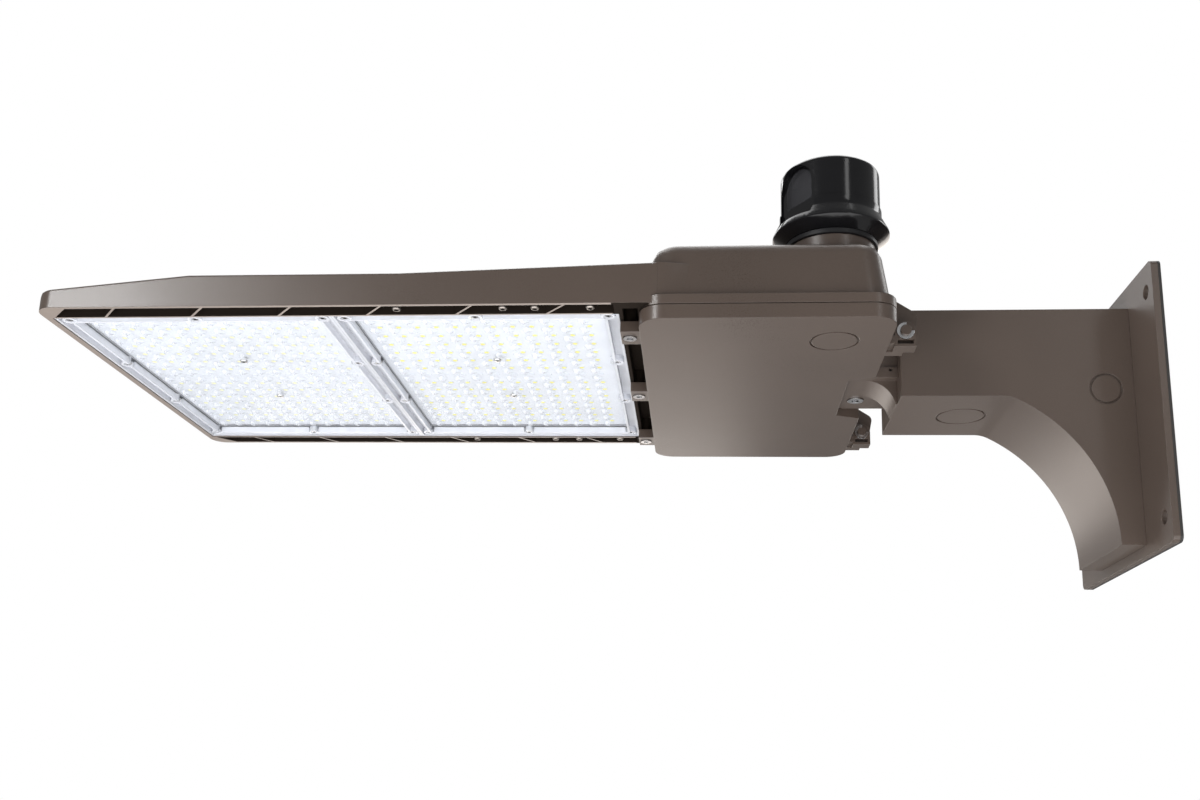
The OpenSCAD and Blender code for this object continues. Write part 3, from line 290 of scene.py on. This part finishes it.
# a near-black copy of the coat: painted shade for the head's pockets and the channel before the door
paintedShadeBronze = powderCoat("paintedShadeBronze", (0.018, 0.013, 0.010, 1), 0.85, 0.08)
# a lighter copy of the coat: a painted highlight on the undersides of the head's rim and webs
paintedHighlightBronze = powderCoat("paintedHighlightBronze", (0.30, 0.25, 0.22, 1), 0.36)
# a darker, browner copy of the zinc: painted shade for the screws down in the pockets
paintedShadeZinc = zincPlate("paintedShadeZinc", (0.40, 0.36, 0.33, 1), 0.36)
frameClear = clearPlastic("frameClear", (0.92, 0.94, 1.0, 1), 0.12, 0.7)
phosphors = {
    "lens_rear": moulded("phosphorRear", (0.98, 0.90, 0.06, 1), 0.4, 2400, 0.00004),
    "lens_front": moulded("phosphorFront", (0.97, 0.92, 0.42, 1), 0.4, 2400, 0.00004),
}
print("finishes made,", len(bpy.data.materials))

# pieces

bodyOf = {}
for bodyName, nodeNames in frame["record"]["behaviour"]["bodies"].items():
    for nodeName in nodeNames:
        bodyOf[nodeName] = bodyName
slotOf = {part["node"]: part["material_slot"] for part in frame["record"]["subparts"]}
dressed = set()  # CAD nodes whose place a finished piece takes


def joinFlats(mesh, flat=0.6):
    # neighbouring faces of one plane and one finish become one
    bmesh.ops.dissolve_limit(mesh, angle_limit=math.radians(flat), verts=mesh.verts, edges=mesh.edges,
                             delimit={"MATERIAL"})


def joinedMesh(node, join=True):
    # a CAD node's triangles, merged, and joined into flat faces where that is asked
    mesh = bmesh.new()
    mesh.from_mesh(frame["nodes"][node].data)
    bmesh.ops.remove_doubles(mesh, verts=mesh.verts, dist=2e-6)
    if join:
        joinFlats(mesh)
    return mesh


def islands(node):
    # the low and high corners of each solid of a node
    mesh = joinedMesh(node, False)
    left, found = set(mesh.verts), []
    while left:
        group, front = set(), [left.pop()]
        while front:
            vert = front.pop()
            group.add(vert)
            for edge in vert.link_edges:
                other = edge.other_vert(vert)
                if other in left:
                    left.discard(other)
                    front.append(other)
        corners = [[pick(v.co[k] for v in group) for k in range(3)] for pick in (min, max)]
        found.append((Vector(corners[0]), Vector(corners[1])))
    mesh.free()
    return sorted(found, key=lambda pair: tuple(round(c, 5) for c in pair[0]))


def cutAt(mesh, place, across):
    # new edges where the plane through a place, in millimetres, crosses the mesh
    everything = mesh.verts[:] + mesh.edges[:] + mesh.faces[:]
    bmesh.ops.bisect_plane(mesh, geom=everything, plane_co=[c * mm for c in place], plane_no=across)


def sharpEdges(mesh, degrees):
    limit = math.radians(degrees)
    return [e for e in mesh.edges if len(e.link_faces) == 2 and e.calc_face_angle(0) > limit]


def makeObject(name, mesh, materials):
    data = bpy.data.meshes.new(name)
    mesh.to_mesh(data)
    mesh.free()
    for material in materials:
        data.materials.append(material)
    for face in data.polygons:
        face.use_smooth = True
    piece = bpy.data.objects.new(name, data)
    bpy.context.scene.collection.objects.link(piece)
    return piece


def evenNormals(piece, degrees=34):
    # corner normals led by the larger faces, so flat faces stay flat and rounded ones shade smoothly
    data = piece.data
    limit = math.cos(math.radians(degrees))
    around = [[] for vert in data.vertices]
    flats = [(face.normal.copy(), face.area) for face in data.polygons]
    for face in data.polygons:
        for vert in face.vertices:
            around[vert].append(flats[face.index])
    normals = []
    for face in data.polygons:
        own = flats[face.index][0]
        for vert in face.vertices:
            total = Vector()
            for normal, area in around[vert]:
                if normal.dot(own) > limit:
                    total += normal * area
            normals.append(total.normalized() if total.length else own)
    data.normals_split_custom_set(normals)


def dress(name, mesh, node, materials=None, replace=True):
    # a finished piece that rides with a node's body and takes its place
    piece = makeObject(name, mesh, materials or [finishes[slotOf[node]]])
    evenNormals(piece)
    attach(piece, bodyOf[node])
    if replace:
        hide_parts(node)
        dressed.add(node)


def roundEdges(mesh, edges, width, segments=2, clamp=True):
    if edges:
        bmesh.ops.bevel(mesh, geom=edges, offset=width * mm, offset_type="OFFSET", segments=segments,
                        profile=0.5, affect="EDGES", clamp_overlap=clamp, material=-1)


softBend = 28  # degrees from which an edge is rounded
softEdges = {  # node: edge rounding in millimetres
    "wall_plate": 0.6, "arm": 1.6, "neck": 1.2, "door": 0.5, "hinge_pins": 0.5,
    "hinge_clips": 0.25, "led_driver": 0.8, "neck_screw": 0.35, "door_screws": 0.3, "photocell_cap": 0.6,
    "receptacle": 0.5, "surge_protector": 1.2, "terminal_block": 0.5,
}
skirt = {  # heights and radii of the photocell's skirt, plain and stepped, in millimetres
    "middle": (244.0, 116.0), "plain": [(119.8, 43.5), (132.2, 37.0), (138.2, 37.0)],
    "stepped": [(119.8, 43.5), (129.2, 40.3), (129.9, 39.7), (130.2, 37.6), (132.2, 37.1), (138.2, 37.0)],
    "above": 119.9, "slack": 0.25,
}


def along(points, height):
    # the radius at a height of a profile
    for (low, first), (high, last) in zip(points, points[1:]):
        if height <= high:
            return first + (last - first) * max(0, height - low) / (high - low)
    return points[-1][1]


def stepSkirt(mesh):
    # the skirt's wall gets the step under the cap and stands steeper below it
    for height, radius in skirt["stepped"][1:-2]:
        cutAt(mesh, (0, 0, height), (0, 0, 1))
    for vert in mesh.verts:
        x, y, z = vert.co.x / mm - skirt["middle"][0], vert.co.y / mm - skirt["middle"][1], vert.co.z / mm
        radius = math.hypot(x, y)
        if z > skirt["above"] and abs(radius - along(skirt["plain"], z)) < skirt["slack"]:
            grow = along(skirt["stepped"], z) / radius
            vert.co.x, vert.co.y = [(m + v * grow) * mm for m, v in zip(skirt["middle"], (x, y))]


mesh = joinedMesh("photocell_base", False)
stepSkirt(mesh)
dress("photocellSkirt", mesh, "photocell_base")
for node, width in softEdges.items():
    mesh = joinedMesh(node)
    roundEdges(mesh, sharpEdges(mesh, softBend), width)
    dress(node + "Form", mesh, node)
    print("rounded", node)

headForm = {  # the head's three finishes and its rounded rim, in millimetres and degrees
    "channelFrom": 378.0, "channelTo": 405.0, "channelTop": 62.0, "sideFrom": 170.6,
    "pocketIn": 152.0, "pocketOut": 168.6, "pocketTop": 58.5, "pocketTo": 822.0, "rimLow": 46.9,
    "rimRound": 1.8, "rimBend": 20, "rimRear": 385.0, "rimBase": 58.5, "rimSide": 170.5, "noseRun": 16.0,
    "rimRise": 20.0,
}


def headFinish(face):
    # 0 the coat, 1 painted shade in the pockets and in the channel before the door, 2 a painted highlight on the rim
    # and web undersides between them
    x, y, z = (c / mm for c in face.calc_center_median())
    inChannel = headForm["channelFrom"] < x < headForm["channelTo"] and z < headForm["channelTop"]
    inPocket = headForm["pocketIn"] < abs(y) < headForm["pocketOut"] and z < headForm["pocketTop"]
    # the downward faces of the rim and webs get the painted highlight
    if x > headForm["channelTo"] and z < headForm["rimLow"] and face.normal.z < -0.5:
        return 2
    # the pockets and the channel get the painted shade
    if inChannel and abs(y) < headForm["sideFrom"] or inPocket and headForm["channelTo"] < x < headForm["pocketTo"]:
        return 1
    return 0


def onRim(edge):
    # an edge along the top of the head's sides or of its nose
    first, second = (vert.co / mm for vert in edge.verts)
    middle = (first + second) / 2
    outer = abs(middle.y) > headForm["rimSide"] or middle.x > headEnd - headForm["noseRun"]
    return outer and middle.x > headForm["rimRear"] and middle.z > headForm["rimBase"] \
        and abs(first.z - second.z) < headForm["rimRise"]


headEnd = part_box("head_housing")[1][0] / mm
mesh = joinedMesh("head_housing", False)
for cutX in (headForm["channelFrom"], headForm["channelTo"]):
    cutAt(mesh, (cutX, 0, 0), (1, 0, 0))
for face in mesh.faces:
    face.material_index = headFinish(face)
joinFlats(mesh)
rim = [edge for edge in sharpEdges(mesh, headForm["rimBend"]) if onRim(edge)]
roundEdges(mesh, rim, headForm["rimRound"], 3, False)
dress("headForm", mesh, "head_housing", [finishes["head_bronze"], paintedShadeBronze, paintedHighlightBronze])
print("rounded head,", len(rim), "rim edges")

flare = {  # the soft run of the head's sides into the driver box, in millimetres
    "front": 372.5, "rear": 344.0, "side": 170.95, "boxSide": 169.7, "draft": 0.145, "low": 51.9, "high": 77.7,
    "depth": 6.0, "cells": (16, 5), "sortAlong": (1.0, 31.7, 7.3),
}


def addFlare():
    mesh = bmesh.new()
    bmesh.ops.create_grid(mesh, x_segments=flare["cells"][0], y_segments=flare["cells"][1], size=0.5)
    for vert in mesh.verts:
        run, rise = vert.co.x + 0.5, vert.co.y + 0.5
        height = flare["low"] + (flare["high"] - flare["low"]) * rise
        box = flare["boxSide"] - (height - flare["low"]) * flare["draft"]
        blend = run * run * (3 - 2 * run)
        vert.co = Vector((flare["front"] + (flare["rear"] - flare["front"]) * run,
                          flare["side"] + (box - flare["side"]) * blend, height)) * mm
    wall = bmesh.ops.extrude_face_region(mesh, geom=mesh.faces[:], use_keep_orig=True)["geom"]
    inner = [part for part in wall if isinstance(part, bmesh.types.BMVert)]
    bmesh.ops.translate(mesh, verts=inner, vec=(0, -flare["depth"] * mm, 0))
    copy = bmesh.ops.duplicate(mesh, geom=mesh.verts[:] + mesh.edges[:] + mesh.faces[:])["geom"]
    other = [part for part in copy if isinstance(part, bmesh.types.BMVert)]
    bmesh.ops.scale(mesh, verts=other, vec=(1, -1, 1))
    bmesh.ops.recalc_face_normals(mesh, faces=mesh.faces)
    # the extrusion's faces come in any order, so they are sorted to be the same each run
    mesh.faces.sort(key=lambda face: face.calc_center_median().dot(Vector(flare["sortAlong"])))
    dress("headFlare", mesh, "head_housing", replace=False)


addFlare()
print("flare made")

for node, middle in optics["middles"].items():
    # three finishes: the field, the frame with its ribs and bosses, and the domes
    mesh = joinedMesh(node, False)
    dome = domePlastic(node + "Domes", middle * mm, optics)
    inX, inY = (optics["length"] / 2 - optics["frame"]) * mm, (optics["width"] / 2 - optics["frame"]) * mm
    for face in mesh.faces:
        centre = face.calc_center_median()
        inside = abs(centre.x - middle * mm) < inX and abs(centre.y) < inY
        if not inside:
            face.material_index = 1
        elif centre.z < (optics["fieldZ"] - optics["domeFrom"]) * mm:
            face.material_index = 2
    dress(node + "Form", mesh, node, [finishes["clear_optic"], frameClear, dome])
print("optic plates dressed")


def loftRings(mesh, place, rings):
    # closed turned form along Z from rings of (sides, radius, height), in millimetres
    loops = []
    for k, (sides, radius, height) in enumerate(rings):
        made = bmesh.ops.create_circle(mesh, cap_ends=k in (0, len(rings) - 1), segments=sides, radius=radius * mm,
                                       matrix=Matrix.Translation(place + Vector((0, 0, height * mm))))
        loops.append(list(dict.fromkeys(edge for vert in made["verts"] for edge in vert.link_edges)))
    for low, high in zip(loops, loops[1:]):
        bmesh.ops.bridge_loops(mesh, edges=low + high)


panHead = {  # round screw head with a hexagon recess, in millimetres
    "shank": 1.75, "rise": 1.75, "profile": [(3.3, 0), (3.3, -0.75), (3.0, -1.3), (2.6, -1.65)], "sides": (12, 24, 6),
    "land": 0.35, "floor": -0.5, "recess": 1.35, "wideRecess": 1.9,
}


def panHeads(node, recess, finish):
    # where the CAD has its plain screws
    few, many, flats = panHead["sides"]
    shank, rise = panHead["shank"], panHead["rise"]
    mesh = bmesh.new()
    for low, high in islands(node):
        place = Vector(((low.x + high.x) / 2, (low.y + high.y) / 2, low.z + rise * mm))
        rings = [(few, shank, (high.z - place.z) / mm), (few, shank, 0)]
        rings += [(many, radius, height) for radius, height in panHead["profile"]]
        rings += [(many, recess + panHead["land"], -rise), (flats, recess, -rise), (flats, recess, panHead["floor"])]
        loftRings(mesh, place, rings)
    bmesh.ops.recalc_face_normals(mesh, faces=mesh.faces)
    dress(node + "Form", mesh, node, [finish])


for node in ("lens_screws", "centre_screws", "driver_screws"):
    panHeads(node, panHead["recess"], finishes["zinc_steel"])
panHeads("pocket_screws", panHead["wideRecess"], paintedShadeZinc)
print("screw heads made")


dot = [(8, 2.1, 0.05), (8, 2.1, -0.12), (8, 1.5, -0.25)]  # sides, radius and height of its rings, in millimetres


def phosphorDots(node):
    # the yellow dot on each package; the middle row has none
    middle = optics["middles"][node]
    mesh = bmesh.new()
    countX, countY = optics["count"]
    for i in range(countX):
        for j in range(countY):
            if j == countY // 2:
                continue
            x = middle + optics["shift"] + (i - (countX - 1) / 2) * optics["pitch"][0] - optics["chipBack"]
            y = (j - (countY - 1) / 2) * optics["pitch"][1]
            loftRings(mesh, Vector((x, y, optics["chipZ"])) * mm, dot)
    bmesh.ops.recalc_face_normals(mesh, faces=mesh.faces)
    board = node.replace("lens", "led_board")
    dress(node + "Dots", mesh, board, [phosphors[node]], replace=False)


for node in optics["middles"]:
    phosphorDots(node)
print("phosphor dots made")

for name, holder in frame["nodes"].items():
    if name not in dressed:
        holder.data.materials.clear()
        holder.data.materials.append(finishes[slotOf[name]])
print("pieces dressed,", len(dressed))


def addFloor():
    mesh = bmesh.new()
    bmesh.ops.create_grid(mesh, x_segments=8, y_segments=8, size=studio["floorSize"] / 2)
    bmesh.ops.translate(mesh, verts=mesh.verts, vec=(0, 0, studio["floorZ"]))
    finish = Finish("floorPaper", Base_Color=studio["floorColor"], Roughness=0.9)
    finish.bump(finish.noise(40, 3.0), 0.0005, 0.2)
    # a camera ray sees part of the floor as white paper, and the rest keeps the shadow
    seen = finish.add("ShaderNodeLightPath", out="Is Camera Ray")
    glow = finish.add("ShaderNodeEmission", None, {"Color": (1, 1, 1, 1), "Strength": 1.0})
    mixed = finish.add("ShaderNodeMixShader", None, {0: seen * studio["floorGlow"], 1: finish.bare, 2: glow})
    finish.plug(finish.output.inputs["Surface"], mixed)
    makeObject("studioFloor", mesh, [finish.material])


def addSky():
    # white where the camera or clear plastic sees it, softer in reflections and as a light
    world = bpy.data.worlds.new("studioSky")
    bpy.context.scene.world = world
    world.use_nodes = True
    sky = Tree(world.node_tree)
    seen = sky.add("ShaderNodeLightPath", out="Is Camera Ray")
    through = sky.add("ShaderNodeLightPath", out="Is Transmission Ray")
    glossy = sky.add("ShaderNodeLightPath", out="Is Glossy Ray")
    strength = sky.ramp(sky.maths("MAXIMUM", seen, through), 0, 1, studio["skyLight"], 1.0)
    strength = sky.maths("MAXIMUM", strength, glossy * studio["skyGloss"])
    light = sky.add("ShaderNodeBackground", None, {"Color": (1, 1, 1, 1), "Strength": strength})
    sky.plug(sky.nodes.new("ShaderNodeOutputWorld").inputs["Surface"], light)


addCamera()
addLamps()
addFloor()
addSky()
bpy.context.scene.view_settings.view_transform = "Standard"
print("studio ready")
